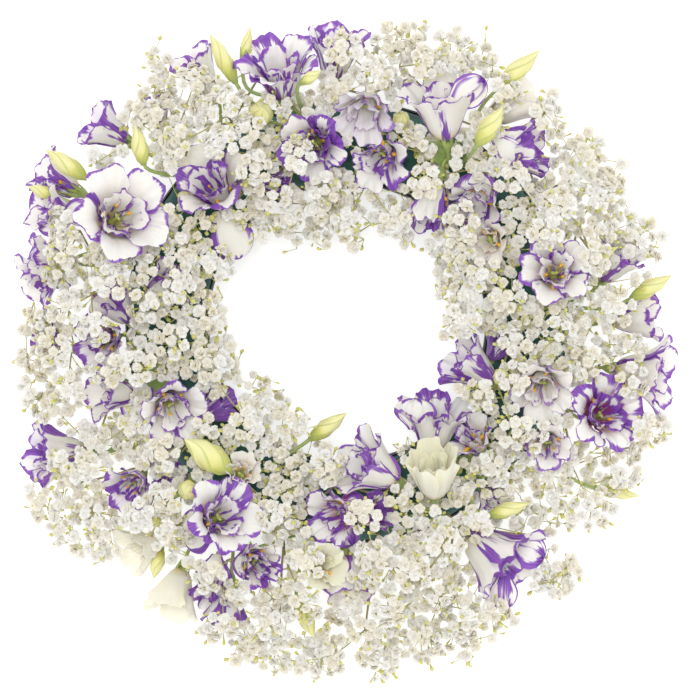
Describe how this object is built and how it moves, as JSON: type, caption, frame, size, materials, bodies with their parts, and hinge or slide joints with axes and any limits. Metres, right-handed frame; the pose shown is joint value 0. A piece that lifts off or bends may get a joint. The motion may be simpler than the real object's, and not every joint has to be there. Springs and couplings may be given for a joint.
{
  "type": "funeral wreath",
  "caption": "Round flower wreath lying flat: purple-edged white lisianthus blooms and buds among clouds of baby's breath, on a floral-foam ring in a shallow tray.",
  "frame": {"origin": "on the table below the middle of the whole wreath", "axes": "+X to the right and +Y to the top of the wreath as it is looked at from the front, +Z out of its face, away from the table"},
  "size_m": [0.4498, 0.4475, 0.1139],
  "materials": {
    "tray_plastic": "matte moulded plastic",
    "floral_foam": "matte, crumbling open-cell foam",
    "petals": "soft satin petals, white with purple edges",
    "stems_and_buds": "waxy green stems, leaves and yellow-green buds",
    "babys_breath": "matte white florets on olive-brown twigs"
  },
  "bodies": {
    "root": {"ring_tray": "tray_plastic", "floral_foam": "floral_foam", "bloom_01": "petals", "bloom_02": "petals", "bloom_03": "petals", "bloom_04": "petals", "bloom_05": "petals", "bloom_06": "petals", "bloom_07": "petals", "bloom_08": "petals", "bloom_09": "petals", "bloom_10": "petals", "bloom_11": "petals", "bloom_12": "petals", "bloom_13": "petals", "bloom_14": "petals", "bloom_15": "petals", "bloom_16": "petals", "bloom_17": "petals", "bloom_18": "petals", "bloom_19": "petals", "bloom_20": "petals", "bloom_21": "petals", "bloom_22": "petals", "bloom_23": "petals", "bloom_24": "petals", "lisianthus_stem_01": "stems_and_buds", "lisianthus_stem_02": "stems_and_buds", "lisianthus_stem_03": "stems_and_buds", "lisianthus_stem_04": "stems_and_buds", "lisianthus_stem_05": "stems_and_buds", "lisianthus_stem_06": "stems_and_buds", "lisianthus_stem_07": "stems_and_buds", "lisianthus_stem_08": "stems_and_buds", "lisianthus_stem_09": "stems_and_buds", "lisianthus_stem_10": "stems_and_buds", "lisianthus_stem_11": "stems_and_buds", "lisianthus_stem_12": "stems_and_buds", "lisianthus_stem_13": "stems_and_buds", "babys_breath_01": "babys_breath", "babys_breath_02": "babys_breath", "babys_breath_03": "babys_breath", "babys_breath_04": "babys_breath", "babys_breath_05": "babys_breath", "babys_breath_06": "babys_breath", "babys_breath_07": "babys_breath", "babys_breath_08": "babys_breath", "babys_breath_09": "babys_breath", "babys_breath_10": "babys_breath", "babys_breath_11": "babys_breath", "babys_breath_12": "babys_breath", "babys_breath_13": "babys_breath", "babys_breath_14": "babys_breath", "babys_breath_15": "babys_breath", "babys_breath_16": "babys_breath", "babys_breath_17": "babys_breath", "babys_breath_18": "babys_breath", "babys_breath_19": "babys_breath", "babys_breath_20": "babys_breath", "babys_breath_21": "babys_breath"}
  },
  "joints": []
}
